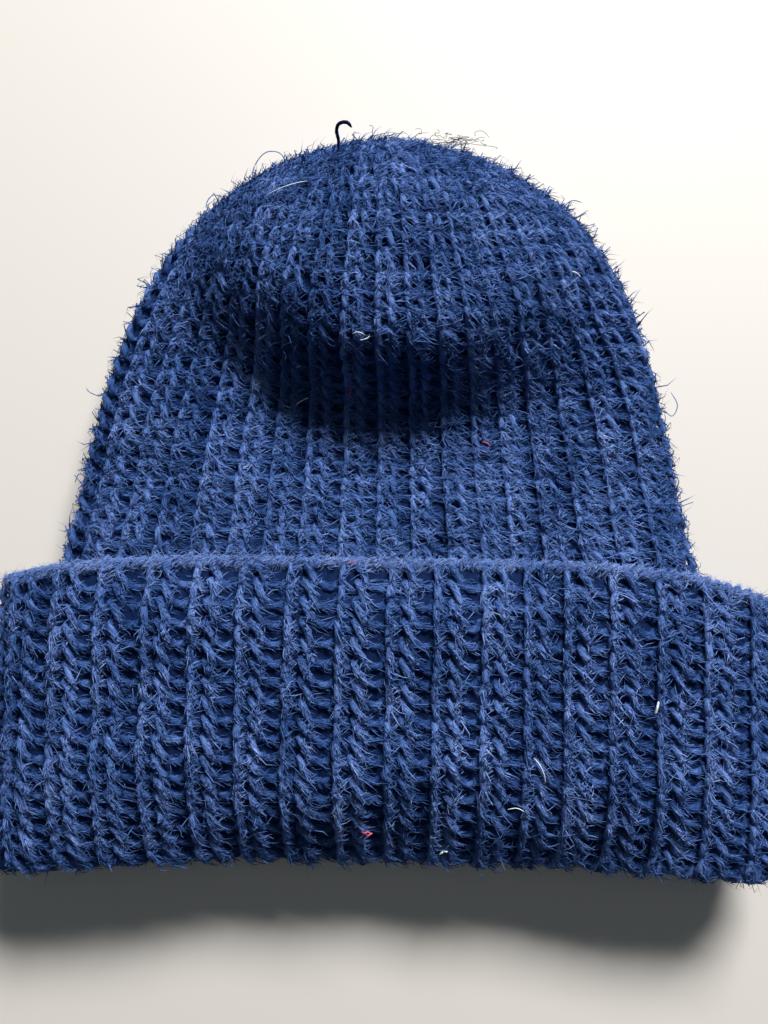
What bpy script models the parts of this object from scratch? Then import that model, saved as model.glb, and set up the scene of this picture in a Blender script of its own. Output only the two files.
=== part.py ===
"""A hand-knitted rib beanie with a deep turned-up cuff, lying flat on a table.

The hat is one knitted tube, gathered shut at the crown by a yarn drawn through its last round. Its
lower part is turned up on the outside, so that wall is double. Each zone of the tube is one closed
solid of the cloth's real thickness, open inside. Metres, +Z up from the table, +X across the hat and
+Y from the mouth to the crown. Every y below is a distance from the mouth; ORIGIN_Y moves it so that
the origin is under the middle of the hat.
"""

import math

import bmesh
import bpy

MM = 0.001

# Sizes across and along the hat as it lies.
HAT_LENGTH = 256 * MM  # mouth fold to crown tip
CUFF_DEPTH = 100 * MM  # mouth fold to the cuff's free edge
CUFF_WIDTH = 264 * MM
SIDE_POCKET = 14.6 * MM  # the body's side fold to the cuff's inner face, at the cuff's free edge
TAPER = 28.5 * MM  # what each side of the body would draw in from the cuff to the tip
CROWN_ROUNDNESS = 4.8  # a higher power keeps the width longer and rounds the top sooner

# The cloth and how its layers lie.
CLOTH = 7.5 * MM  # one layer of chunky rib
LAYER_GAP = 0.4 * MM  # between two layers that lie on each other
SEAM_GAP = 0.3 * MM  # between two zones of the same cloth
CUFF_AIR = 8.6 * MM  # front wall to back wall inside the cuff
BODY_AIR = 8.0 * MM  # front wall to back wall above the cuff
DROOP = 40 * MM  # length in which the body comes down off the cuff's back layer
FOLD_DEPTH = 12 * MM  # length of the rolled fold at the mouth
EDGE_DEPTH = 5.5 * MM  # length of the cast-on edge

# The puffed crown.
CROWN_HEIGHT = 46 * MM
CREASE = 150 * MM  # the crease across the front, where the crown's solid starts
PUFF_CREST = 200 * MM

# Yarns that aren't part of the rounds. The radii are the yarns' own.
GATHER_LOOP = 3.8 * MM  # radius of the drawn-up loop at the crown tip
GATHER_YARN = 1.6 * MM
GATHER_RISE = 2 * MM  # the loop's height over the side folds
STUB_YARN = 0.8 * MM
STUB_ACROSS = -20 * MM  # where the clipped end stands on the crown
STUB_FROM_TIP = 10 * MM
TAIL_YARN = 1.8 * MM
TAIL_LENGTH = 34 * MM  # the cast-on tail, darned in under the cuff at its right side
YARN_CLEARANCE = 0.4 * MM

RING_POINTS = 44
FLATTENING = 1.12  # how far the side curve is cut off by the flat front and back
SIDE_ROUNDNESS = 3.2  # power of the curve round the side folds
PUFF_SPREAD = 1.6  # a higher power keeps the puff nearer the middle

WALL_PAIR = 2 * CLOTH + LAYER_GAP
CUFF_STACK = 2 * WALL_PAIR + CUFF_AIR
UNDER_CUFF = CLOTH + LAYER_GAP
TUCKED_STACK = 2 * CLOTH + CUFF_AIR
BODY_STACK = 2 * CLOTH + BODY_AIR
TUCKED_HALF = CUFF_WIDTH / 2 - UNDER_CUFF  # half the body's width where it turns into the fold
ORIGIN_Y = -HAT_LENGTH / 2

NAVY = (0.035, 0.055, 0.15, 1)
DARK_NAVY = (0.015, 0.02, 0.05, 1)


def eased(y, start, end):
    """0 before start, 1 after end, with no corner between."""
    share = min(max((y - start) / (end - start), 0), 1)
    return share * share * (3 - 2 * share)


def spread(start, end, count):
    """count places from start to end, both included."""
    return [start + (end - start) * i / (count - 1) for i in range(count)]


def front_z(across, half_height, middle, puff):
    """Height of the front face, at the share across of the half width."""
    rise = (1 - abs(across) ** SIDE_ROUNDNESS) ** (1 / SIDE_ROUNDNESS)
    return middle + half_height * min(1, FLATTENING * rise) + puff * (1 - across**2) ** PUFF_SPREAD


def ring(y, half_width, half_height, middle, puff=0):
    """A closed ring round the hat at y, from its right side over the front to the left and back."""
    points = []
    for i in range(RING_POINTS):
        angle = 2 * math.pi * i / RING_POINTS
        across = math.cos(angle)
        z = front_z(across, half_height, middle, puff)
        if i > RING_POINTS / 2:
            z = 2 * middle - front_z(across, half_height, middle, 0)
        points.append((half_width * across, y + ORIGIN_Y, z))
    return points


def cuff_ring(y, inset):
    """A ring at y, inset from the cuff's outer face."""
    return ring(y, CUFF_WIDTH / 2 - inset, CUFF_STACK / 2 - inset, CUFF_STACK / 2)


def body_half_width(y):
    """Half the body's outer width, before the crown closes: it spreads into the cuff's fold."""
    along = max(y - CUFF_DEPTH, 0) / (HAT_LENGTH - CUFF_DEPTH)
    return TUCKED_HALF - SIDE_POCKET * eased(y, FOLD_DEPTH, CUFF_DEPTH) - TAPER * along


def body_shape(y, inset):
    """Half width, half height, middle height and puff at y, inset from the body's outer face."""
    off_cuff = eased(y, CUFF_DEPTH, CUFF_DEPTH + DROOP)
    stack = TUCKED_STACK + (BODY_STACK - TUCKED_STACK) * off_cuff
    middle = UNDER_CUFF * (1 - off_cuff) + stack / 2
    along = max(y - CUFF_DEPTH, 0) / (HAT_LENGTH - inset - CUFF_DEPTH)
    left = max(1 - along**CROWN_ROUNDNESS, 0)
    puff = (CROWN_HEIGHT - BODY_STACK) * eased(y, CREASE, PUFF_CREST)
    half_width = (body_half_width(y) - inset) * left ** (1 / 2)
    return half_width, (stack / 2 - inset) * left ** (1 / 3), middle, puff * left ** (1 / 3)


def body_ring(y, inset):
    return ring(y, *body_shape(y, inset))


def toward_tip(start, tip, count):
    """Places from start towards the tip, closer together where the crown turns over."""
    first = math.asin(((start - CUFF_DEPTH) / (tip - CUFF_DEPTH)) ** (CROWN_ROUNDNESS / 2))
    angles = spread(first, math.pi / 2, count + 1)[:-1]
    return [CUFF_DEPTH + (tip - CUFF_DEPTH) * math.sin(a) ** (2 / CROWN_ROUNDNESS) for a in angles]


def add_object(name, data, colour):
    """An object of the hat with its own yarn material."""
    material = bpy.data.materials.new(name)
    material.use_nodes = True
    shader = material.node_tree.nodes["Principled BSDF"]
    shader.inputs["Base Color"].default_value = colour
    shader.inputs["Roughness"].default_value = 0.95
    shader.inputs["Metallic"].default_value = 0
    data.materials.append(material)
    made = bpy.data.objects.new(name, data)
    beanie.objects.link(made)
    made.parent = hat
    return made


def lofted(name, rings, tips=None):
    """A closed solid through a chain of rings, its end joined to its start, or capped at two tips."""
    bm = bmesh.new()
    loops = [[bm.verts.new(point) for point in points] for points in rings]
    pairs = list(zip(loops, loops[1:]))
    if tips is None:
        pairs.append((loops[-1], loops[0]))
    else:
        for loop, tip in zip((loops[0], loops[-1]), tips):
            centre = bm.verts.new(tip)
            for a, b in zip(loop, loop[1:] + loop[:1]):
                bm.faces.new((a, b, centre))
    for near, far in pairs:
        for i in range(RING_POINTS):
            j = (i + 1) % RING_POINTS
            bm.faces.new((near[i], near[j], far[j], far[i]))
    bmesh.ops.recalc_face_normals(bm, faces=bm.faces[:])
    mesh = bpy.data.meshes.new(name)
    bm.to_mesh(mesh)
    bm.free()
    mesh.shade_smooth()
    mesh.set_sharp_from_angle(angle=math.radians(50))
    return add_object(name, mesh, NAVY)


def make_wall(name, ring_at, places):
    """One zone of the tube: its outer face through the places, and its inner face back."""
    outer = [ring_at(y, 0) for y in places]
    inner = [ring_at(y, CLOTH) for y in reversed(places)]
    lofted(name, outer + inner)


def make_rolled_ring(name, seam, end, thickness, count):
    """A ring of cloth that is rounded over from its seam to its end."""
    rings = []
    for angle in spread(0, math.pi, count):
        y = seam + (end - seam) * math.sin(angle)
        rings.append(cuff_ring(y, thickness * (1 - math.cos(angle)) / 2))
    lofted(name, rings)


def make_crown():
    """The gathered dome, with a pucker sunk into its tip for the yarn that draws it up."""
    start = CREASE + SEAM_GAP
    outer = [body_ring(y, 0) for y in toward_tip(start, HAT_LENGTH, 13)]
    inner = [body_ring(y, CLOTH) for y in toward_tip(start, HAT_LENGTH - CLOTH, 12)]
    tips = [(0, tip + ORIGIN_Y, BODY_STACK / 2) for tip in (HAT_LENGTH - CLOTH, HAT_LENGTH)]
    crown = lofted("crown", inner[::-1] + outer, tips)
    bpy.ops.mesh.primitive_cylinder_add(
        vertices=32,
        radius=GATHER_LOOP + GATHER_YARN + YARN_CLEARANCE,
        depth=2 * (2 * GATHER_YARN + YARN_CLEARANCE),
        location=(0, HAT_LENGTH + ORIGIN_Y, BODY_STACK / 2 + GATHER_RISE),
        rotation=(math.pi / 2, 0, 0),
    )
    pucker = bpy.context.object
    pucker.name = "pucker_cutter"
    pucker.hide_render = True
    pucker.display_type = "WIRE"
    for holder in list(pucker.users_collection):
        holder.objects.unlink(pucker)
    cutters.objects.link(pucker)
    sunk = crown.modifiers.new("pucker", "BOOLEAN")
    sunk.operation = "DIFFERENCE"
    sunk.object = pucker


def make_gather_yarn():
    """The yarn through the last round, drawn up to a small loop that lies in the pucker."""
    bpy.ops.mesh.primitive_torus_add(
        major_segments=28,
        minor_segments=10,
        major_radius=GATHER_LOOP,
        minor_radius=GATHER_YARN,
    )
    made = bpy.context.object
    mesh = made.data
    bpy.data.objects.remove(made)
    mesh.shade_smooth()
    loop = add_object("gather_yarn", mesh, NAVY)
    loop.rotation_euler = (math.pi / 2, 0, 0)
    loop.location = (0, HAT_LENGTH - GATHER_YARN + ORIGIN_Y, BODY_STACK / 2 + GATHER_RISE)


def make_yarn_end(name, points, radius, colour):
    """A short length of yarn through the points."""
    curve = bpy.data.curves.new(name, "CURVE")
    curve.dimensions = "3D"
    curve.bevel_depth = radius
    curve.bevel_resolution = 2
    curve.use_fill_caps = True
    spline = curve.splines.new("POLY")
    spline.points.add(len(points) - 1)
    for point, (x, y, z) in zip(spline.points, points):
        point.co = (x, y + ORIGIN_Y, z, 1)
    add_object(name, curve, colour)


def make_crown_stub():
    """The clipped end of the gathering yarn, which stands up from the crown with a curl at its top."""
    x, y = STUB_ACROSS, HAT_LENGTH - STUB_FROM_TIP
    half_width, half_height, middle, puff = body_shape(y, 0)
    foot = front_z(x / half_width, half_height, middle, puff) + STUB_YARN + YARN_CLEARANCE
    rises = [(0, 0, 0), (0.4, 1, 4), (0.2, 1.6, 8), (1.4, 2.2, 11), (3.6, 2.2, 11.6), (5, 1.8, 10)]
    points = [(x + dx * MM, y + dy * MM, foot + dz * MM) for dx, dy, dz in rises]
    make_yarn_end("crown_yarn_end", points, STUB_YARN, DARK_NAVY)


def make_cast_on_tail():
    """The cast-on tail, darned down inside the cuff between its right side fold and the body's."""
    top = CUFF_DEPTH - EDGE_DEPTH - SEAM_GAP
    points = []
    for y in spread(top - TAIL_LENGTH, top, 9):
        cuff_inside = CUFF_WIDTH / 2 - CLOTH
        points.append(((cuff_inside + body_half_width(y)) / 2, y, CUFF_STACK / 2))
    make_yarn_end("cast_on_tail", points, TAIL_YARN, NAVY)


for old in list(bpy.data.objects):
    bpy.data.objects.remove(old, do_unlink=True)

beanie = bpy.data.collections.new("rib_beanie")
cutters = bpy.data.collections.new("cutters")
for collection in (beanie, cutters):
    bpy.context.scene.collection.children.link(collection)
hat = bpy.data.objects.new("hat", None)
beanie.objects.link(hat)

cloth_start = FOLD_DEPTH + SEAM_GAP
cuff_end = CUFF_DEPTH - EDGE_DEPTH
make_wall("cuff", cuff_ring, spread(cloth_start, cuff_end - SEAM_GAP, 4))
tucked_places = spread(cloth_start, CUFF_DEPTH, 7)
make_wall("body", body_ring, tucked_places[:-1] + spread(CUFF_DEPTH, CREASE, 8))
make_crown()
make_rolled_ring("mouth_fold", FOLD_DEPTH, 0, WALL_PAIR, 9)
make_rolled_ring("cast_on_edge", cuff_end, CUFF_DEPTH, CLOTH, 7)
make_gather_yarn()
make_crown_stub()
make_cast_on_tail()
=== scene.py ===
import math

import bpy
import numpy as np
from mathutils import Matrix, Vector


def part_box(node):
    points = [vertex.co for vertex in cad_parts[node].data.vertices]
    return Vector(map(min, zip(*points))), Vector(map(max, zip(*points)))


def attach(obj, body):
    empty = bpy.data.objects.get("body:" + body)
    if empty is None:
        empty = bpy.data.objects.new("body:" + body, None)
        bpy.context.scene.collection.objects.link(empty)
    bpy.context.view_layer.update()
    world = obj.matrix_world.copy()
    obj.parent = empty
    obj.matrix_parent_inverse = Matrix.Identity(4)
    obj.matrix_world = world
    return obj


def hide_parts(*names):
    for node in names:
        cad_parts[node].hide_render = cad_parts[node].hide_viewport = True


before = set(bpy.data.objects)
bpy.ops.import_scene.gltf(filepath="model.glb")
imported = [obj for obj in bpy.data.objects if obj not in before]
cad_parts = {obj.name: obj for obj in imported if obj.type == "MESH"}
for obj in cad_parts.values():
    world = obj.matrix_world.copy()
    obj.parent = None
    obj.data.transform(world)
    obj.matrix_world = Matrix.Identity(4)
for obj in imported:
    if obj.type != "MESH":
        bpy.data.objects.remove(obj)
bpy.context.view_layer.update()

# ---- The lay of the cloth -----------------------------------------------------------------------
# The hat is one knitted tube. It starts at the cuff's free edge, runs down the outside of the cuff,
# turns under at the mouth, and runs up inside the cuff and over the body to the gathered crown. It
# lies on its back wall, with the crown's front wall puffed up.

MM = 0.001
CLOTH = 7.5 * MM  # one layer of rib, through the yarn
LAYER_GAP = 0.4 * MM
SIDE_POCKET = 14.6 * MM  # the body's side fold to the cuff's inside, at the free edge
TAPER = 28.5 * MM  # what each side of the body draws in on its way to the tip
FULLNESS = 2.4 * MM  # how far each side stands out again once it is clear of the cuff
DROOP = 40 * MM  # length in which the body comes down off the cuff's back layer
BODY_AIR = 8 * MM
CREASE_UP = 150 * MM  # mouth to the crease across the front, in the middle
CREST_UP = 205 * MM  # mouth to the crest of the puff, in the middle
OVERHANG = 16 * MM  # how far the puff leans out over the crease
CREASE_DIP = 5 * MM  # how far the front sinks in along the crease
CREASE_CURVE = 42 * MM  # how much higher the crease stands at the sides
CREASE_MIDDLE = 0.1  # its lowest place, a little right of the middle
EDGE_ARCH = 6.5 * MM  # the free edge's middle beyond its mean place
EDGE_FALL = (8 * MM, 12.7 * MM)  # the edge's fall from its middle to its left and right ends
MOUTH_SAG = 8.2 * MM  # the front wall's sag at the mouth
FOLD_PRESS = 5.5 * MM  # how far the outer layer is pressed down on the tucked one at the fold
MOUTH_DRAW = 3.4 * MM  # how far the front fold stands back from the back one
SWAY = -3.6 * MM  # the body lies a little to the left of the cuff
LEAN = 2.4 * MM  # and the crown leans back to the right
LUMP = 0.55 * MM  # how uneven the front lies
SIDE_ROUNDNESS = 3.2  # a higher power makes the side folds rounder
FLATTENING = 1.12  # how far the side curve is cut off by the flat front and back
PUFF_SPREAD = 0.85  # a higher power keeps the puff nearer the middle
EDGE_DIP = 4.4 * MM  # the free edge hugs the body
CROWN_ROUNDNESS = 4.8  # a higher power keeps the width longer and rounds the top sooner
CROWN_HEIGHT = 46 * MM
CLIPPED = 3 * MM  # the ribs stop this far short of the rolled edge
EDGE_FALL_POWER = 4.5  # a higher power keeps the edge's fall nearer the sides

# Where each change of shape starts and ends, from the mouth up or, where it says so, from the cuff up.
DRAW_SPAN = (0, 60 * MM)
SAG_SPAN = (4 * MM, 44 * MM)
PRESS_SPAN = (2 * MM, 22 * MM)
POCKET_START = 12 * MM
FULL_SPAN = (6 * MM, 50 * MM)  # from the cuff up
DIP_LENGTH = 34 * MM
SWAY_SPAN = (60 * MM, 112 * MM)
LEAN_SPAN = (150 * MM, 250 * MM)
EDGE_DIP_SPAN = (0.8, 1.02)  # as shares of the cuff's depth

FINE_STEPS = 2400  # steps round a ring before they are evened out
RINGS_ACROSS = 720  # places round the tube at which the lay is worked out
CUFF_STATIONS = 40
FOLD_STATIONS = 12
BODY_STATIONS = 60
CROWN_STATIONS = 120
LEVEL_BODY = 30 * MM  # the body's part with evenly spaced stations, past the cuff's edge
LAST_ANGLE = math.radians(87)  # the crown stops short of closing, at the gather

mouth_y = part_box("mouth_fold")[0][1]
edge_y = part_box("cast_on_edge")[1][1]
tip_y = -mouth_y
cuff_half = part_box("cuff")[1][0]
cuff_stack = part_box("cuff")[1][2]
cuff_deep = edge_y - mouth_y
hat_long = tip_y - mouth_y
tucked_stack = cuff_stack - 2 * (CLOTH + LAYER_GAP)
body_stack = 2 * CLOTH + BODY_AIR
tucked_half = cuff_half - CLOTH - LAYER_GAP
lump_rng = np.random.default_rng(11)
lump_waves = lump_rng.normal(0, 2 * np.pi / (70 * MM), (7, 2))
lump_starts = lump_rng.uniform(0, 2 * np.pi, 7)


def eased(x, start, end):
    share = np.clip((x - start) / (end - start), 0, 1)
    return share * share * (3 - 2 * share)


def ring(up, half_width, half_height, middle, puff, overhang=None):
    """Evenly spaced places round the tube. up, the distance from the mouth, and puff, the front's
    height over a flat stack, are functions of the place across, from -1 to 1."""
    angle = np.pi - np.linspace(0, 2 * np.pi, FINE_STEPS, endpoint=False)
    across = np.cos(angle)
    rise = (1 - np.abs(across) ** SIDE_ROUNDNESS) ** (1 / SIDE_ROUNDNESS)
    height = half_height * np.minimum(1, FLATTENING * rise)
    front = np.sin(angle) >= 0
    spread = (1 - across**2) ** PUFF_SPREAD
    x = half_width * across
    y = up(across) + mouth_y
    draw = MOUTH_DRAW * (1 - eased(up(across), *DRAW_SPAN)) * (1 - across**6)
    waves = np.sin(x[:, None] * lump_waves[:, 0] + y[:, None] * lump_waves[:, 1] + lump_starts)
    z = np.where(front, middle + height + (puff(across) + LUMP * waves.sum(1)) * spread, middle - height)
    y = np.where(front, y + draw - (overhang(across) if overhang else 0), y)
    points = np.stack([x, y, z], 1)
    steps = np.linalg.norm(np.roll(points, -1, 0) - points, axis=1)
    along = np.concatenate([[0], np.cumsum(steps)])
    wanted = np.linspace(0, along[-1], RINGS_ACROSS, endpoint=False)
    closed = np.vstack([points, points[:1]])
    return np.stack([np.interp(wanted, along, closed[:, k]) for k in range(3)], 1)


def sagged(up):
    return -MOUTH_SAG * (1 - eased(up, *SAG_SPAN))


def cuff_ring(share, inset, lift=0.0, turned=0.0):
    """share is 0 at the mouth fold and 1 at the free edge; turned is how far it has gone under."""
    def up(across):
        fall = np.where(across < 0, EDGE_FALL[0], EDGE_FALL[1]) * np.abs(across) ** EDGE_FALL_POWER
        edge = cuff_deep + EDGE_ARCH - fall - CLIPPED
        return fold_up + lift + share * (edge - fold_up)

    def puff(across):
        pressed = FOLD_PRESS * (1 - turned) * (1 - eased(up(across), *PRESS_SPAN))
        return sagged(up(across)) - pressed - EDGE_DIP * eased(share, *EDGE_DIP_SPAN)

    return ring(up, cuff_half - inset, cuff_stack / 2 - inset, cuff_stack / 2, puff)


def body_ring(up, inset):
    """One ring of the tucked layer, the body or the crown, up from the mouth."""
    beyond = max(up - cuff_deep, 0)
    side = tucked_half - SIDE_POCKET * eased(up, POCKET_START, cuff_deep)
    side += FULLNESS * eased(up - cuff_deep, *FULL_SPAN)
    side -= TAPER * beyond / (hat_long - cuff_deep)
    off_cuff = eased(up, cuff_deep, cuff_deep + DROOP)
    stack = tucked_stack + (body_stack - tucked_stack) * off_cuff
    middle = (CLOTH + LAYER_GAP) * (1 - off_cuff) + stack / 2
    left = max(1 - (beyond / (hat_long - inset - cuff_deep)) ** CROWN_ROUNDNESS, 0)

    def level(across):
        return up - CREASE_CURVE * (across - CREASE_MIDDLE) ** 2

    def risen(across):
        return eased(level(across), CREASE_UP, CREST_UP)

    def puff(across):
        dip = eased(level(across), CREASE_UP - DIP_LENGTH, CREASE_UP) * (1 - risen(across))
        rise = (CROWN_HEIGHT - body_stack) * risen(across) * left ** (1 / 3)
        return rise + sagged(up) - CREASE_DIP * dip

    back_again = 1 - eased(up, CREST_UP, hat_long)
    found = ring(
        lambda across: up + 0 * across,
        (side - inset) * left ** (1 / 2),
        (stack / 2 - inset) * left ** (1 / 3),
        middle,
        puff,
        lambda across: OVERHANG * risen(across) * back_again * (1 - across**2),
    )
    found[:, 0] += SWAY * eased(up, *SWAY_SPAN) + LEAN * eased(up, *LEAN_SPAN)
    return found


roll = (CLOTH + LAYER_GAP) / 2  # the mouth fold's radius, to the middle of the cloth
fold_up = roll + CLOTH / 2
stations = [cuff_ring(share, CLOTH / 2) for share in np.linspace(1, 0, CUFF_STATIONS)]
for turn in np.linspace(0, math.pi, FOLD_STATIONS)[1:-1]:
    inset = CLOTH / 2 + roll * (1 - math.cos(turn))
    stations.append(cuff_ring(0, inset, -roll * math.sin(turn), turn / math.pi))
for up in np.linspace(fold_up, cuff_deep + LEVEL_BODY, BODY_STATIONS):
    stations.append(body_ring(up, CLOTH / 2))
crown_long = hat_long - CLOTH / 2 - cuff_deep
first_angle = math.asin((LEVEL_BODY / crown_long) ** (CROWN_ROUNDNESS / 2))
for angle in np.linspace(first_angle, LAST_ANGLE, CROWN_STATIONS)[1:]:
    up = cuff_deep + crown_long * math.sin(angle) ** (2 / CROWN_ROUNDNESS)
    stations.append(body_ring(up, CLOTH / 2))
lay = np.array(stations)
steps = np.linalg.norm(np.diff(lay, axis=0), axis=2).mean(axis=1)
station_along = np.concatenate([[0], np.cumsum(steps)])
fold_along = station_along[CUFF_STATIONS - 1]
tucked_along = station_along[CUFF_STATIONS + FOLD_STATIONS - 2]
way_round = np.linalg.norm(np.roll(lay, -1, 1) - lay, axis=2).sum(1)
lay_around = np.roll(lay, -1, 1) - np.roll(lay, 1, 1)
lay_along = np.gradient(lay, axis=0)
lay_out = np.cross(lay_around, lay_along)
lay_out /= np.linalg.norm(lay_out, axis=2, keepdims=True)


def on_cloth(around, along, out, face):
    """Places on the tube and the way out from it, from the share of the way round, the distance from
    the free edge, and the height over the cloth's middle on its face (1, out on the body) or its back
    (-1, out on the cuff)."""
    column = (around % 1) * RINGS_ACROSS
    left = np.floor(column).astype(int)
    right_part = (column - left)[:, None]
    left %= RINGS_ACROSS
    right = (left + 1) % RINGS_ACROSS
    row = np.interp(along, station_along, np.arange(len(lay)))
    low = np.minimum(np.floor(row).astype(int), len(lay) - 2)
    high_part = (row - low)[:, None]
    found = []
    for grid in (lay, lay_out):
        near = grid[low, left] * (1 - right_part) + grid[low, right] * right_part
        far = grid[low + 1, left] * (1 - right_part) + grid[low + 1, right] * right_part
        found.append(near * (1 - high_part) + far * high_part)
    places, outward = found
    outward *= face / np.linalg.norm(outward, axis=1, keepdims=True)
    return places + outward * out[:, None], outward


# ---- The felted ground --------------------------------------------------------------------------
# Brushed wool mats between its stitches, so no light comes through the cloth. This is that matted
# layer: one thin closed skin in the middle of the whole tube, from the free edge to the crown, coloured
# darker than the yarn as painted shade for the gaps between the stitches.

GROUND_HALF = 0.6 * MM
GROUND_STRIDE = 4  # one skin point for this many of the lay's
GROUND_TONE = 0.3
painted_shade_ground_tones = ((0, (0.002, 0.0075, 0.036)), (1, (0.007, 0.021, 0.08)))


def together(*parts):
    """Arrays of like shape, side by side along a new last axis."""
    return np.stack(np.broadcast_arrays(*parts), -1)


def tube_faces(count, sides):
    """The four-cornered faces round a closed tube of so many rings."""
    ring_of, side = np.arange(count)[:, None] * sides, np.arange(sides)[None, :]
    next_ring, beside = (ring_of + sides) % (count * sides), (side + 1) % sides
    corners = together(ring_of + side, ring_of + beside, next_ring + beside, next_ring + side)
    return corners.reshape(-1, 4)


def add_piece(name, points, faces, bake_map):
    """A mesh object from arrays of points and of faces, all with as many corners, and the place of
    each corner on the map that the colours are painted on."""
    mesh = bpy.data.meshes.new(name)
    mesh.vertices.add(len(points))
    mesh.vertices.foreach_set("co", points.astype(np.float32).ravel())
    mesh.loops.add(faces.size)
    mesh.loops.foreach_set("vertex_index", faces.astype(np.int32).ravel())
    mesh.polygons.add(len(faces))
    mesh.polygons.foreach_set("loop_start", np.arange(0, faces.size, faces.shape[1], dtype=np.int32))
    mesh.polygons.foreach_set("use_smooth", np.full(len(faces), True))
    mesh.update(calc_edges=True)
    add_map(mesh, "OFBake", bake_map)
    piece = bpy.data.objects.new(name, mesh)
    bpy.context.scene.collection.objects.link(piece)
    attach(piece, "root")
    return piece


def add_map(mesh, name, corners):
    layer = mesh.uv_layers.new(name=name)
    layer.uv.foreach_set("vector", corners.astype(np.float32).ravel())


def add_value(mesh, name, values):
    mesh.attributes.new(name, "FLOAT", "POINT").data.foreach_set("value", values.astype(np.float32))


def wool(name, tones, value_name, hair_scale, contrast=0.9, map_name=""):
    """Brushed wool: its tone follows a value held on the mesh, broken up by fine hair."""
    made = bpy.data.materials.new(name)
    made.use_nodes = True
    nodes, links = made.node_tree.nodes, made.node_tree.links
    shader = nodes["Principled BSDF"]
    shader.inputs["Roughness"].default_value = 0.9
    shader.inputs["Specular IOR Level"].default_value = 0.06
    shader.inputs["Sheen Weight"].default_value = 0.25
    shader.inputs["Sheen Roughness"].default_value = 0.5
    shader.inputs["Sheen Tint"].default_value = (0.12, 0.33, 1, 1)
    if map_name:
        place = nodes.new("ShaderNodeUVMap")
        place.uv_map = map_name
        coordinate = place.outputs["UV"]
    else:
        place = nodes.new("ShaderNodeTexCoord")
        coordinate = place.outputs["Object"]
    hair = nodes.new("ShaderNodeTexNoise")
    hair.inputs["Scale"].default_value = hair_scale
    hair.inputs["Detail"].default_value = 3
    hair.inputs["Roughness"].default_value = 0.6
    links.new(coordinate, hair.inputs["Vector"])
    value = nodes.new("ShaderNodeAttribute")
    value.attribute_name = value_name
    broken = nodes.new("ShaderNodeMath")
    broken.operation = "MULTIPLY_ADD"
    broken.inputs[1].default_value = contrast
    links.new(hair.outputs["Fac"], broken.inputs[0])
    links.new(value.outputs["Fac"], broken.inputs[2])
    ramp = nodes.new("ShaderNodeValToRGB")
    elements = ramp.color_ramp.elements
    while len(elements) < len(tones):
        elements.new(0.5)
    for element, (position, colour) in zip(elements, tones):
        element.position = position
        element.color = (*colour, 1)
    shifted = nodes.new("ShaderNodeMath")
    shifted.operation = "SUBTRACT"
    shifted.inputs[1].default_value = contrast / 2
    links.new(broken.outputs[0], shifted.inputs[0])
    links.new(shifted.outputs[0], ramp.inputs["Fac"])
    links.new(ramp.outputs["Color"], shader.inputs["Base Color"])
    bump = nodes.new("ShaderNodeBump")
    bump.inputs["Strength"].default_value = 0.7
    bump.inputs["Distance"].default_value = 0.4 * MM
    links.new(hair.outputs["Fac"], bump.inputs["Height"])
    links.new(bump.outputs["Normal"], shader.inputs["Normal"])
    return made


ground_wool = wool("felted_ground", painted_shade_ground_tones, "tone", 700)
rows = np.r_[np.arange(0, len(lay) - 1, 2), len(lay) - 1]
columns = np.arange(0, RINGS_ACROSS, GROUND_STRIDE)
middle = lay[np.ix_(rows, columns)]
outward = lay_out[np.ix_(rows, columns)]
skins = np.stack([middle + GROUND_HALF * outward, (middle - GROUND_HALF * outward)[::-1]])
sheet_points = skins.reshape(-1, len(columns), 3)
high, wide = len(sheet_points), len(columns)
row_index, column_index = np.arange(high)[:, None], np.arange(wide)[None, :]
map_corners = [
    together((column_index + a) / wide, (row_index + b) / high)
    for a, b in ((0, 0), (1, 0), (1, 1), (0, 1))
]
ground_faces = tube_faces(high, wide)
ground = add_piece("felted_ground", sheet_points.reshape(-1, 3), ground_faces, np.stack(map_corners, -2))
add_value(ground.data, "tone", np.full(len(ground.data.vertices), GROUND_TONE))
ground.data.materials.append(ground_wool)

# ---- The ribs -----------------------------------------------------------------------------------
# Chunky brushed yarn, knitted one plain, one purl in rounds. In each rib the plain stitch's two legs
# stand proud, one upright and one slanted, and the purl stitch lies back between them.

RIBS = 36
CUFF_ROW = 6.0 * MM
BODY_ROW = 6.2 * MM
RIB_SHIFT = -0.14 / RIBS
WOBBLE = ((3, 0.0030), (5, 0.0016), (11, 0.0007))  # uneven rib widths: waves round, and their size
YARN_TWIST = 0.8  # turns of the streaks round the yarn
YARN_ROUGHNESS = 0.07
TUCKED_SAMPLES = 20  # the hidden rounds are coarser
RIBBED_DOWN_TO = 262 * MM  # way round the crown below which no purl is left
CROWN_STITCHES = ((150 * MM, 36), (60 * MM, 18), (0, 9))  # least way round and plain stitches in it
CROWN_STARTS = 22 * MM  # where the crown takes over from the body, along the hat
yarn_tones = (
    (0.0, (0.006, 0.021, 0.083)),
    (0.45, (0.026, 0.063, 0.19)),
    (1.0, (0.115, 0.19, 0.44)),
)
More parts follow.
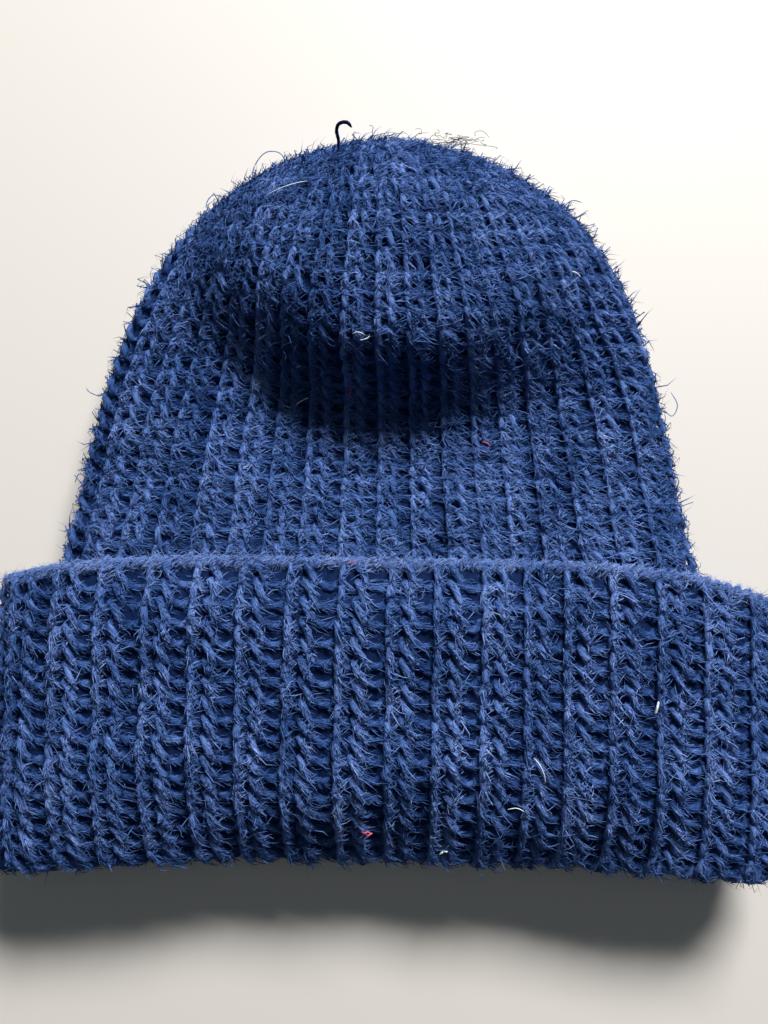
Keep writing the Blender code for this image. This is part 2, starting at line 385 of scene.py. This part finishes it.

# One rib of yarn, one plain and one purl: share of the rib's width, share of the row's height, height
# over the cloth's middle and the yarn's radius in millimetres, and its painted light: a painted
# highlight on the proud legs and painted shade on the purl and hidden parts.
RIB_STITCH = (
    (0.02, 0.50, 0.9, 1.25, 0.85),
    (0.03, 0.22, 2.0, 1.20, 1.00),
    (0.02, -0.25, 2.3, 1.20, 1.00),
    (0.06, -0.62, 1.0, 1.35, 0.70),
    (0.24, -0.84, -0.5, 1.50, 0.30),
    (0.50, -0.60, 0.9, 1.40, 0.65),
    (0.48, -0.26, 2.0, 1.30, 0.90),
    (0.38, 0.22, 2.0, 1.30, 0.90),
    (0.31, 0.56, 0.6, 1.50, 0.55),
    (0.42, 0.74, -0.6, 1.50, 0.25),
    (0.57, 0.42, -1.3, 1.50, 0.15),
    (0.60, -0.10, -1.5, 1.50, 0.15),
    (0.60, -0.52, -0.4, 1.45, 0.30),
    (0.76, -0.72, 0.7, 1.40, 0.45),
    (0.92, -0.52, -0.4, 1.45, 0.30),
    (0.91, 0.00, -1.5, 1.50, 0.15),
    (0.89, 0.45, -1.2, 1.50, 0.15),
    (0.94, 0.70, -0.4, 1.45, 0.35),
)
# One plain stitch of the crown's last rounds, where no purl is left.
PLAIN_STITCH = (
    (0.10, 0.50, 0.3, 1.5, 0.60),
    (0.12, 0.15, 1.7, 1.4, 0.85),
    (0.06, -0.30, 1.9, 1.4, 0.85),
    (0.12, -0.66, 0.3, 1.5, 0.50),
    (0.40, -0.86, -0.8, 1.6, 0.20),
    (0.74, -0.66, 0.3, 1.5, 0.50),
    (0.76, -0.28, 1.9, 1.4, 0.85),
    (0.58, 0.20, 1.7, 1.4, 0.85),
    (0.52, 0.55, 0.3, 1.5, 0.50),
    (0.78, 0.74, -0.9, 1.6, 0.20),
)
STITCH_LOOSENESS = np.array([0.03, 0.09, 0.35, 0.12, 0.12])

stitch_rng = np.random.default_rng(3)
rooted = {}  # for each zone, the places on its yarn that fibres may grow from


def hold_roots(zone, path, outward, ahead, radius, painted_light):
    """Keeps a yarn's places, the ways out and ahead there, its radius and its painted light."""
    rooted.setdefault(zone, []).append(np.column_stack([path, outward, ahead, radius, painted_light]))


def between(a, b, c, d, t):
    """Places on a smooth curve from b to c that comes from a and goes on to d."""
    level = 2 * b + (c - a) * t
    return 0.5 * (level + (2 * a - 5 * b + 4 * c - d) * t**2 + (3 * b - a - 3 * c + d) * t**3)


def curve_through(knots, knot):
    """Points on one smooth closed curve through the knots, at these knot numbers."""
    first = np.floor(knot).astype(int)
    near = (knots[(first + shift) % len(knots)] for shift in (-1, 0, 1, 2))
    return between(*near, (knot - first)[:, None])


def round_of_yarn(stitch, repeats, samples):
    """One closed round of loose stitches: places round the tube, along, out, the radius and painted
    light.
    """
    knots = np.tile(np.array(stitch), (repeats, 1))
    knots += STITCH_LOOSENESS * np.clip(stitch_rng.normal(0, 0.55, knots.shape), -1.2, 1.2)
    knot = np.arange(repeats * samples) / samples * len(stitch)
    smooth = curve_through(knots, knot)
    # The places round are worked out from unrolled knots, since each rib starts again from nought.
    unrolled = knots[:, 0] + np.repeat(np.arange(repeats), len(stitch))
    unrolled = np.concatenate([unrolled, unrolled[:3] + repeats])
    first = np.floor(knot).astype(int)
    before = np.where(first == 0, knots[-1, 0] - 1, unrolled[first - 1])
    share = between(before, unrolled[first], unrolled[first + 1], unrolled[first + 2], knot - first)
    return share / repeats, smooth[:, 1], smooth[:, 2] * MM, smooth[:, 3] * MM, smooth[:, 4]


def tube_rings(path, outward, radius, sides, rough, closed=True):
    """Rings of points round a path of yarn, uneven as yarn is, and the yarn's direction."""
    ahead = np.roll(path, -1, 0) - np.roll(path, 1, 0) if closed else np.gradient(path, axis=0)
    ahead /= np.maximum(np.linalg.norm(ahead, axis=1, keepdims=True), 1e-9)
    across = np.cross(outward, ahead)
    across /= np.maximum(np.linalg.norm(across, axis=1, keepdims=True), 1e-9)
    over = np.cross(ahead, across)
    turn = np.arange(sides) * 2 * np.pi / sides
    spread = radius[:, None] * (1 + rough * stitch_rng.standard_normal((len(path), sides)))
    rings = (
        path[:, None]
        + across[:, None] * (np.cos(turn) * spread)[..., None]
        + over[:, None] * (np.sin(turn) * spread)[..., None]
    )
    return rings, ahead


def patchy(places):
    """Lighter and darker patches, a few centimetres across."""
    return 0.05 * np.sin(places[:, :2] @ lump_waves.T * 3 + lump_starts).sum(1)


def knit(name, rounds, material, row, face, sides=8, zone=None):
    """A zone of knitting from its rounds: each one's distance along, stitch, repeats and samples."""
    points, faces, bake, streak, tone, base = [], [], [], [], [], 0
    cells = math.ceil(math.sqrt(sum(repeats for _, _, repeats, _ in rounds)))
    cell = 0
    for along, stitch, repeats, samples in rounds:
        around, up, out, radius, painted_light = round_of_yarn(stitch, repeats, samples)
        around = around + RIB_SHIFT
        around = around + sum(size * np.sin(2 * np.pi * waves * around + waves) for waves, size in WOBBLE)
        path, outward = on_cloth(around, along + up * row * face, out, face)
        rings, ahead = tube_rings(path, outward, radius, sides, YARN_ROUGHNESS)
        points.append(rings.reshape(-1, 3))
        faces.append(tube_faces(len(path), sides) + base)
        base += len(path) * sides
        ring_of, side = np.arange(len(path))[:, None], np.arange(sides)[None, :]
        number, within = cell + ring_of // samples, ring_of % samples
        pace = np.linalg.norm(np.diff(path, axis=0), axis=1)
        long_way = np.concatenate([[0], np.cumsum(pace)]) / MM
        long_way = np.append(long_way, long_way[-1] + 1)[:, None]
        squares, streaks = [], []
        for a, b in ((0, 0), (0, 1), (1, 1), (1, 0)):
            u = (number % cells + 0.04 + 0.92 * (within + a) / samples) / cells
            v = (number // cells + 0.04 + 0.92 * (side + b) / sides) / cells
            squares.append(together(u, v))
            long = long_way[1:] if a else long_way[:-1]
            streaks.append(together(long * 0.12, (side + b) / sides * 10 + long * YARN_TWIST))
        bake.append(np.stack(squares, -2).reshape(-1, 4, 2))
        streak.append(np.stack(streaks, -2).reshape(-1, 4, 2))
        cell += repeats
        # Painted light: proud legs lighter, and each yarn's outward crest painted lighter than its
        # underside as painted shade; patchy adds random tone.
        painted_crest_light = np.sin(np.arange(sides) * 2 * np.pi / sides)[None, :]
        tone.append(((0.75 * painted_light + patchy(path))[:, None] * (0.75 + 0.25 * painted_crest_light)).ravel())
        if zone:
            hold_roots(zone, path, outward, ahead, radius, painted_light)
    piece = add_piece(name, np.concatenate(points), np.concatenate(faces), np.concatenate(bake))
    add_map(piece.data, "yarn", np.concatenate(streak))
    add_value(piece.data, "tone", np.concatenate(tone))
    piece.data.materials.append(material)
    return piece


yarn_wool = wool("brushed_yarn", yarn_tones, "tone", 1.3, 2.2, "yarn")

cuff_rounds = np.arange(3.5 * MM, fold_along - 2 * MM, CUFF_ROW)
fold_rounds = np.arange(cuff_rounds[-1] + CUFF_ROW, tucked_along + 9 * MM, CUFF_ROW)
body_rounds = np.arange(fold_rounds[-1] + BODY_ROW, station_along[-1], BODY_ROW)
half = len(cuff_rounds) // 2
knitted = []
for name, part in (("cuff_rounds_upper", cuff_rounds[:half]), ("cuff_rounds_lower", cuff_rounds[half:])):
    piece = knit(name, [(s, RIB_STITCH, RIBS, 30) for s in part], yarn_wool, CUFF_ROW, -1, 8, "cuff")
    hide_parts("cuff")
    knitted.append(piece)
fold_part = [(s, RIB_STITCH, RIBS, 28) for s in fold_rounds]
piece = knit("mouth_fold_rounds", fold_part, yarn_wool, CUFF_ROW, -1, 7, "fold")
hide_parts("mouth_fold")
knitted.append(piece)
tucked, shown, crown = [], [], []
for s in body_rounds:
    round_long = np.interp(s, station_along, way_round)
    y = np.interp(s, station_along, lay[:, :, 1].mean(1))
    if round_long > RIBBED_DOWN_TO:
        entry = (s, RIB_STITCH, RIBS, 30)
    else:
        stitches = next(number for least, number in CROWN_STITCHES if round_long > least)
        entry = (s, PLAIN_STITCH, stitches, 18)
    if y < edge_y - 2 * MM:
        tucked.append((*entry[:3], TUCKED_SAMPLES))
    elif y < CROWN_STARTS:
        shown.append(entry)
    else:
        crown.append(entry)
for name, part, node, sides, zone in (
    ("tucked_rounds", tucked, "body", 6, None),
    ("body_rounds", shown, "body", 8, "body"),
    ("crown_rounds_lower", crown[: len(crown) // 2], "crown", 8, "crown"),
    ("crown_rounds_upper", crown[len(crown) // 2 :], "crown", 8, "crown"),
):
    piece = knit(name, part, yarn_wool, BODY_ROW, 1, sides, zone)
    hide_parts(node)
    knitted.append(piece)

# ---- The cast-on edge and the yarn ends ---------------------------------------------------------
# The cuff's free edge is the first round: two strands wrapped round each other, one wrap a stitch. Its
# tail hangs down inside the side pocket. At the tip the last stitches are drawn up on a doubled yarn,
# and one darker end stands up out of the crown with a curl.

EDGE_WRAPS = 2 * RIBS
EDGE_STRAND = 1.25 * MM
EDGE_SWING = 1.25 * MM  # how far each strand swings about the edge
EDGE_SIDES = 8
TAIL_STRAND = 0.95 * MM
TAIL_WAVE = 0.5 * MM
GATHER_STRAND = 0.95 * MM
GATHER_SPREAD = 3.1 * MM
GATHER_TURNS = 2
GATHER_PITCH = 0.75 * MM
END_STRAND = 0.6 * MM
# From the end's foot: across, toward the tip and up, as shares of its height.
END_CURL = (
    (0, 0, -0.1), (0.03, 0.05, 0.3), (0, 0.1, 0.64),
    (0.09, 0.14, 0.9), (0.29, 0.15, 0.93), (0.41, 0.1, 0.8),
)
dark_tones = ((0.0, (0.002, 0.003, 0.008)), (1.0, (0.012, 0.016, 0.04)))


def unit(vectors):
    return vectors / np.maximum(np.linalg.norm(vectors, axis=1, keepdims=True), 1e-9)


def strand(places, radius, sides=7, rough=0.06, ends=0.35):
    """One open yarn or fibre through these places, thinner at both ends: its points, its faces, and
    what fibres that grow from it need."""
    knots = np.vstack([2 * places[0] - places[1], places, 2 * places[-1] - places[-2]])
    many = max(6, 5 * len(places))
    t = np.linspace(0, len(places) - 1 - 1e-6, many)
    first = t.astype(int)
    path = between(*(knots[first + shift] for shift in range(4)), (t - first)[:, None])
    share = np.linspace(-1, 1, many)
    thick = radius * (ends + (1 - ends) * (1 - share**8))
    ahead = unit(np.gradient(path, axis=0))
    outward = unit(np.cross(ahead, [0.31, 0.52, 0.23]))
    rings, ahead = tube_rings(path, outward, thick, sides, rough, closed=False)
    points = np.vstack([rings.reshape(-1, 3), path[:1], path[-1:]])
    ring_of, side = np.arange(many - 1)[:, None] * sides, np.arange(sides)[None, :]
    beside = (side + 1) % sides
    near, far = many * sides, many * sides + 1
    last = (many - 1) * sides
    next_ring = ring_of + sides
    faces = [
        together(ring_of + side, ring_of + beside, next_ring + beside).reshape(-1, 3),
        together(ring_of + side, next_ring + beside, next_ring + side).reshape(-1, 3),
        together(near, beside[0], side[0]),
        together(last + side[0], last + beside[0], far),
    ]
    return points, np.concatenate(faces), (path, outward, ahead, thick, np.full(many, 0.6))


def add_strands(name, strands, material, tone):
    """One object of many open strands, each with its own square of the map."""
    points, faces, bake, base = [], [], [], 0
    cells = math.ceil(math.sqrt(len(strands)))
    for number, (where, which, _) in enumerate(strands):
        points.append(where)
        faces.append(which + base)
        base += len(where)
        order = np.linspace(0.1, 0.9, len(where))
        spot = np.stack([order, 0.5 + 0.35 * np.sin(np.arange(len(where)) * 2.4)], 1)
        bake.append((spot[which] + [number % cells, number // cells]) / cells)
    piece = add_piece(name, np.concatenate(points), np.concatenate(faces), np.concatenate(bake))
    add_value(piece.data, "tone", np.full(base, tone))
    piece.data.materials.append(material)
    return piece


edge_out = -lay_out[0]
edge_beyond = unit(lay[0] - lay[1])
turns = np.arange(RINGS_ACROSS) * 2 * np.pi * EDGE_WRAPS / RINGS_ACROSS
edge_rings = []
for start in (0, math.pi):
    swing = (EDGE_SWING * np.cos(turns + start))[:, None]
    reach = (EDGE_SWING * np.sin(turns + start))[:, None]
    path = lay[0] + edge_beyond * (0.4 * MM + reach) + edge_out * (swing - 0.3 * MM)
    path += stitch_rng.normal(0, 0.12 * MM, path.shape)
    thick = np.full(len(path), EDGE_STRAND)
    rings, ahead = tube_rings(path, edge_out, thick, EDGE_SIDES, 0.06)
    edge_rings.append(rings.reshape(-1, 3))
    hold_roots("edge", path, edge_out, ahead, thick, np.full(len(path), 0.9))
# On the map the edge is 24 runs of 30 rings, five runs to a line, one strand over the other.
ring_of, side = np.arange(RINGS_ACROSS)[:, None], np.arange(EDGE_SIDES)[None, :]
spots = []
for a, b in ((0, 0), (0, 1), (1, 1), (1, 0)):
    u = (ring_of % 30 + a) / 30 * 0.92 + 0.04 + ring_of // 30 % 5
    v = (side + b) / EDGE_SIDES * 0.92 + 0.04 + ring_of // 150
    spots.append(together(u / 5, v / 10).reshape(-1, 2))
spots = np.stack(spots, 1)
wrap_faces = tube_faces(RINGS_ACROSS, EDGE_SIDES)
edge = add_piece(
    "cast_on_wraps",
    np.concatenate(edge_rings),
    np.concatenate([wrap_faces, wrap_faces + len(edge_rings[0])]),
    np.concatenate([spots, spots + [0, 0.5]]),
)
add_map(edge.data, "yarn", np.concatenate([spots, spots]) * 300)
add_value(edge.data, "tone", np.full(len(edge.data.vertices), 0.75))
edge.data.materials.append(yarn_wool)
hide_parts("cast_on_edge")
knitted.append(edge)

tail_low, tail_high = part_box("cast_on_tail")
tail_way = np.linspace(0, 1, 8)
tail_x = (tail_low[0] + tail_high[0]) / 2 + TAIL_WAVE * np.sin(tail_way * 5)
tail_y = tail_high[1] - tail_way * (tail_high[1] - tail_low[1])
tail_z = (tail_low[2] + tail_high[2]) / 2 + TAIL_WAVE * np.sin(tail_way * 7)
tail = strand(together(tail_x, tail_y, tail_z), TAIL_STRAND)
loose_wool = wool("loose_yarn", yarn_tones, "tone", 800)
tail_piece = add_strands("cast_on_tail_yarn", [tail], loose_wool, 0.6)
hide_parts("cast_on_tail")
hold_roots("ends", *tail[2])

tip = lay[-1].mean(0)
gather_way = np.linspace(0, GATHER_TURNS * 2 * np.pi, 26)
gather_x = tip[0] + GATHER_SPREAD * np.cos(gather_way)
gather_y = tip[1] + 0.4 * MM + GATHER_PITCH * GATHER_TURNS * gather_way / gather_way[-1]
gather_z = tip[2] + GATHER_SPREAD * np.sin(gather_way)
gather = strand(together(gather_x, gather_y, gather_z), GATHER_STRAND)
gather_piece = add_strands("gather_yarn_turns", [gather], loose_wool, 0.55)
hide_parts("gather_yarn")
hold_roots("ends", *gather[2])

end_low, end_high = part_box("crown_yarn_end")
end_foot = np.array([end_low[0] + 1 * MM, end_low[1] + 1 * MM, end_low[2]])
end_rise = end_high[2] - end_low[2]
end = strand(end_foot + end_rise * np.array(END_CURL), END_STRAND)
dark_wool = wool("dark_yarn", dark_tones, "tone", 900)
end_piece = add_strands("crown_end_yarn", [end], dark_wool, 0.4)
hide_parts("crown_yarn_end")
knitted += [tail_piece, gather_piece, end_piece]

# ---- The bloom ----------------------------------------------------------------------------------
# Brushing lifts fibres out of the yarn. They lie along the stitches and droop to the right over the
# cloth, with a painted highlight where they grow from a proud leg, and stand off the outline as a haze.

TUFT = 3  # fibres that lie together
SPIKE_FACES = (
    (2, 1, 0), (0, 1, 4), (0, 4, 3), (1, 2, 5), (1, 5, 4),
    (2, 0, 3), (2, 3, 5), (3, 4, 6), (4, 5, 6), (5, 3, 6),
)
COMB = np.array([0.94, -0.34, 0])  # the way the pile lies
# Length and half width in millimetres, how far a fibre stands off, how far its tip drops back, how it
# curls, and how much painted shade darkens it.
MAT = (4.5, 0.18, 0.18, 0.42, 0.4, 0.05)
PILE = (3.3, 0.085, 0.26, 0.42, 0.42, 0)
MAT_HOLD = {"cuff": 0.65}  # how closely a mat keeps along its stitches, against 0.5 elsewhere
# Painted light by zone: a painted highlight on the free edge, painted shade on the mouth fold and, less,
# on the crown and body; the cuff a little lighter.
ZONE_PAINTED_LIGHT = {"edge": 0.28, "cuff": 0.06, "fold": -0.2, "body": -0.05, "crown": -0.11}
OFF_THE_TABLE = 0.15 * MM
fibre_tones = (
    (0.0, (0.006, 0.022, 0.09)),
    (0.4, (0.041, 0.092, 0.255)),
    (0.75, (0.115, 0.195, 0.45)),
    (1.0, (0.25, 0.345, 0.63)),
)
bloom_rng = np.random.default_rng(29)


def bloom(name, zone, count, material, mat=False):
    """Tufts of fibres rooted on the zone's yarn, each fibre a thin closed spike with one bend. A mat is
    the wider fibres that lie flat under the rest, a little darker as painted shade."""
    reach, half, stand, drop, curl, painted_shade = MAT if mat else PILE
    whole = np.concatenate(rooted[zone])
    chance = np.where(whole[:, 5] < -0.5, 0.45, 1.0) * (0.8 + 0.5 * whole[:, 10])
    tufts = count // TUFT
    first_roots = bloom_rng.choice(len(whole), tufts, p=chance / chance.sum())
    chosen = np.repeat(first_roots, TUFT) + bloom_rng.integers(-2, 3, tufts * TUFT)
    roots = whole[np.clip(chosen, 0, len(whole) - 1)]
    count = tufts * TUFT

    def shared(spread, own, size=()):
        """A draw that a tuft's fibres have in common, and a little of their own."""
        common = np.repeat(bloom_rng.normal(0, spread, (tufts, *size)), TUFT, axis=0)
        return common + bloom_rng.normal(0, own, (count, *size))

    path, outward, ahead = roots[:, :3], roots[:, 3:6], roots[:, 6:9]
    radius, painted_light = roots[:, 9], roots[:, 10]
    ahead = ahead * np.repeat(bloom_rng.choice([-1, 1], tufts), TUFT)[:, None]
    across = np.cross(outward, ahead)
    lean = shared(0.6, 0.35)[:, None]
    rise = outward * np.cos(lean) + across * np.sin(lean)
    root = path + rise * (radius * 0.9)[:, None]
    comb = COMB * [1, 0.5 if mat else 1, 0] - outward * (outward @ COMB)[:, None]
    held = (0.25 + 0.8 * eased(painted_light, 0.4, 0.8))[:, None]  # fibres on the proud legs keep along them
    if mat:
        held = held * MAT_HOLD.get(zone, 0.5)
    stray = shared(0.15 if mat else 0.18, 0.12, (3,))
    first = unit(ahead * held + rise * stand + comb * (1.2 - held) + stray)
    second = unit(ahead * held * 0.6 + comb * (1.4 - held) - rise * drop + shared(curl, 0.2, (3,)))
    long = reach * MM * np.exp(bloom_rng.normal(0, 0.4, count))
    long = np.clip(long, 1.2 * MM, 2.4 * reach * MM)[:, None]
    bend = root + first * long * 0.5
    tip = bend + second * long * 0.5
    thick = (half * MM * bloom_rng.uniform(0.6, 1.4, count))[:, None]
    flank = unit(np.cross(first, outward))
    spine = np.cross(flank, first)
    spikes = np.empty((count, 7, 3))
    for k, turn in enumerate((0.5, 2.6, 4.7)):
        spread = flank * math.cos(turn) + spine * math.sin(turn)
        spikes[:, k] = root + spread * thick
        spikes[:, 3 + k] = bend + spread * thick * 0.8
    spikes[:, 6] = tip
    spikes[:, :, 2] = np.maximum(spikes[:, :, 2], OFF_THE_TABLE)
    faces = (np.arange(count)[:, None, None] * 7 + np.array(SPIKE_FACES)).reshape(-1, 3)
    cells = math.ceil(math.sqrt(count))
    spot = np.array([(0.1, 0.1), (0.1, 0.5), (0.1, 0.9), (0.5, 0.1), (0.5, 0.5), (0.5, 0.9), (0.9, 0.5)])
    corner = np.stack([np.arange(count) % cells, np.arange(count) // cells], 1)
    bake = (corner[:, None, None] + spot[np.array(SPIKE_FACES)][None]) / cells
    piece = add_piece(name, spikes.reshape(-1, 3), faces, bake.reshape(-1, 3, 2))
    # The fibres' tone: painted light from the proud legs and the zone, the mats' painted shade, and
    # random patches.
    tone_with_painted_light = 0.19 + ZONE_PAINTED_LIGHT.get(zone, 0) - painted_shade + 0.48 * painted_light + patchy(path) + shared(0.09, 0.05)
    add_value(piece.data, "tone", np.repeat(np.clip(tone_with_painted_light, 0.03, 1.0), 7))
    piece.data.materials.append(material)
    return piece


fibre_wool = wool("wool_fibre", fibre_tones, "tone", 1800, 0.9)
for name, zone, count, mat, node in (
    ("edge_bloom", "edge", 12000, False, "cast_on_edge"),
    ("cuff_mat_a", "cuff", 19500, True, "cuff"),
    ("cuff_mat_b", "cuff", 19500, True, "cuff"),
    ("cuff_bloom_a", "cuff", 19500, False, "cuff"),
    ("cuff_bloom_b", "cuff", 19500, False, "cuff"),
    ("fold_mat", "fold", 14000, True, "mouth_fold"),
    ("fold_bloom", "fold", 8000, False, "mouth_fold"),
    ("body_mat_a", "body", 17000, True, "body"),
    ("body_mat_b", "body", 17000, True, "body"),
    ("body_bloom_a", "body", 11000, False, "body"),
    ("body_bloom_b", "body", 11000, False, "body"),
    ("crown_mat_a", "crown", 17000, True, "crown"),
    ("crown_mat_b", "crown", 17000, True, "crown"),
    ("crown_mat_c", "crown", 17000, True, "crown"),
    ("crown_bloom_a", "crown", 19000, False, "crown"),
    ("crown_bloom_b", "crown", 19000, False, "crown"),
    ("ends_bloom", "ends", 240, False, "cast_on_tail"),
):
    piece = bloom(name, zone, count, fibre_wool, mat)
    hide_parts(node)
    knitted.append(piece)

# ---- Stray fibres and lint ----------------------------------------------------------------------
# A worn brushed hat sheds and gathers: long fibres loop off the outline, a grey tuft sits on the
# crown's far side, and a few pale and red bits cling to the pile.

# Each bit in millimetres: its middle across and along the hat, its length, its heading in degrees, how
# far it bows aside and lifts, and its radius.
PALE_BITS = (
    (85, -68, 4.2, 76, 0.1, 0.4, 0.42),
    (48, -88, 9, -66, 0.9, 1.0, 0.16),
    (41, -101, 5.5, -8, 1.2, 0.6, 0.15),
    (19, -117, 3, 35, 0.3, 0.3, 0.35),
    (-36, 101, 14, 18, 0.3, 0.8, 0.13),
    (-11, 49, 4, -8, 0.6, 0.4, 0.16),
    (-9, 48, 3.4, 20, -0.5, 0.5, 0.15),
    (-31, 32, 5, 24, 0.4, 0.4, 0.15),
    (62, 75, 3.5, -20, 0.3, 0.3, 0.22),
)
RED_BITS = (
    (-6, -110, 3.4, -15, 0.5, 0.3, 0.32),
    (-5, -111, 2.6, 40, 0.4, 0.4, 0.28),
    (-14, 34, 3, 80, 0.3, 0.3, 0.26),
    (33, 18, 2.6, -30, 0.4, 0.2, 0.26),
    (-12, -24, 2.2, 10, 0.3, 0.2, 0.24),
)
TUFT_PLACE = np.array([20.5, 126.0, 21.0])  # the grey tuft's middle, in millimetres
TUFT_SPREAD = (4.2, 0.9, 1.2)
TUFT_HAIRS = 34
OUTLINE_LOOPS = (
    ((-50, 108, 24), (-49, 113, 26), (-45, 117, 28), (-40, 117, 28), (-37, 113, 27)),
    ((-99, 37, 14), (-103, 34, 15), (-107, 35, 15), (-109, 37, 14)),
    ((97, 33, 13), (100, 30, 14), (102, 34, 14), (100, 39, 13)),
    ((-63, 97, 22), (-66, 100, 23), (-64, 104, 23), (-60, 104, 22)),
    ((58, 101, 22), (62, 104, 23), (66, 104, 22)),
    ((-106, 4, 14), (-110, 6, 14), (-112, 3, 13)),
)
STRAYS = 420
pale_tones = ((0.0, (0.5, 0.62, 0.66)), (1.0, (0.85, 0.92, 0.9)))
red_tones = ((0.0, (0.28, 0.03, 0.07)), (1.0, (0.62, 0.14, 0.2)))
grey_tones = ((0.0, (0.05, 0.055, 0.045)), (1.0, (0.2, 0.2, 0.16)))

front_places = lay[:, : RINGS_ACROSS // 2].reshape(-1, 3)


def on_top(x, y):
    """The height of the cloth's upper face here, or of the table where there is no hat."""
    near = np.hypot(front_places[:, 0] - x, front_places[:, 1] - y) < 4 * MM
    return front_places[near, 2].max() + CLOTH / 2 if near.any() else 4 * MM


def clinging(middle_x, middle_y, long, angle, bow, lift, radius):
    """A strand in millimetres, lying over the pile round this place: bow is how far its middle stands
    aside and lift how far it stands up."""
    way = np.linspace(-0.5, 0.5, 6)
    aside = bow * (1 - 4 * way**2)
    heading, square = math.radians(angle), math.radians(angle + 90)
    x = (middle_x + long * way * math.cos(heading) + aside * math.cos(square)) * MM
    y = (middle_y + long * way * math.sin(heading) + aside * math.sin(square)) * MM
    z = [on_top(a, b) + (0.2 + lift * (1 - 4 * w * w)) * MM for a, b, w in zip(x, y, way)]
    return strand(np.stack([x, y, z], 1), radius * MM, 5, 0.05, 0.25)


pale_wool = wool("pale_lint", pale_tones, "tone", 600)
red_wool = wool("red_lint", red_tones, "tone", 600)
lint = [
    add_strands("pale_lint_bits", [clinging(*bit) for bit in PALE_BITS], pale_wool, 0.5),
    add_strands("red_lint_bits", [clinging(*bit) for bit in RED_BITS], red_wool, 0.5),
]

tuft_rng = np.random.default_rng(5)
tuft = []
for _ in range(TUFT_HAIRS):
    start = TUFT_PLACE + tuft_rng.normal(0, TUFT_SPREAD)
    heading = tuft_rng.normal(0, (1.6, 0.5, 0.5), (6, 3))
    tuft.append(strand((start + np.cumsum(heading, 0)) * MM, 0.085 * MM, 4, 0.05, 0.3))
grey_wool = wool("grey_fluff", grey_tones, "tone", 600)
lint.append(add_strands("grey_fluff_tuft", tuft, grey_wool, 0.5))

stray_rng = np.random.default_rng(17)
strays = [strand(np.array(loop) * MM, 0.17 * MM, 5, 0.05, 0.3) for loop in OUTLINE_LOOPS]
outline = np.concatenate([np.concatenate(rooted[zone]) for zone in ("cuff", "fold", "body", "crown")])
for root in outline[stray_rng.choice(len(outline), STRAYS)]:
    foot, outward, ahead = root[:3], root[3:6], root[6:9]
    if outward[2] < -0.3:  # none grow under the hat
        continue
    heading = 1.1 * ahead + 0.6 * outward + 0.4 * COMB
    bends = stray_rng.normal(0, 0.55, (5, 3)) + heading
    steps = np.cumsum(unit(bends), 0) * stray_rng.uniform(1.2, 2.3)
    steps -= outward * (np.arange(1, 6)[:, None] ** 2) * 0.055
    places = foot + np.vstack([np.zeros(3), steps]) * MM + outward * 1.3 * MM
    strays.append(strand(places, stray_rng.uniform(0.07, 0.12) * MM, 4, 0.04, 0.3))
stray_wool = wool("stray_fibre", fibre_tones, "tone", 900)
lint.append(add_strands("stray_fibres", strays, stray_wool, 0.62))
knitted += lint

# ---- The table, the light and the view ----------------------------------------------------------
# A plain pale table, a large soft light beyond the crown and a weak one over the cuff.

table = bpy.data.meshes.new("table")
table.from_pydata([(-3, -3, 0), (3, -3, 0), (3, 3, 0), (-3, 3, 0)], [], [(0, 1, 2, 3)])
table = bpy.data.objects.new("table", table)
bpy.context.scene.collection.objects.link(table)
pale = bpy.data.materials.new("pale_table")
pale.use_nodes = True
pale.node_tree.nodes["Principled BSDF"].inputs["Base Color"].default_value = (0.64, 0.6, 0.55, 1)
pale.node_tree.nodes["Principled BSDF"].inputs["Roughness"].default_value = 0.6
table.data.materials.append(pale)


def soft_light(name, place, size, power):
    lamp = bpy.data.lights.new(name, "AREA")
    lamp.shape = "RECTANGLE"
    lamp.size, lamp.size_y = size
    lamp.energy = power
    held = bpy.data.objects.new(name, lamp)
    held.location = place
    held.rotation_euler = (-Vector(place)).to_track_quat("-Z", "Y").to_euler()
    bpy.context.scene.collection.objects.link(held)


soft_light("window", (0.65, 1.8, 1.29), (1.0, 0.5), 119)
soft_light("fill", (0.1, 0.3, 1.8), (1.2, 1.2), 2)
world = bpy.data.worlds.new("studio")
world.use_nodes = True
world.node_tree.nodes["Background"].inputs["Color"].default_value = (0.6, 0.82, 1, 1)
world.node_tree.nodes["Background"].inputs["Strength"].default_value = 0.065
bpy.context.scene.world = world
bpy.context.scene.view_settings.view_transform = "Standard"

view = bpy.data.cameras.new("view")
view.lens = 27.04
view.sensor_width = 36
view.clip_start = 0.01
camera = bpy.data.objects.new("view", view)
camera.location = (-0.0017, -0.0238, 0.285)
camera.rotation_euler = (math.radians(3.8), 0, math.radians(0.9))
bpy.context.scene.collection.objects.link(camera)
bpy.context.scene.camera = camera
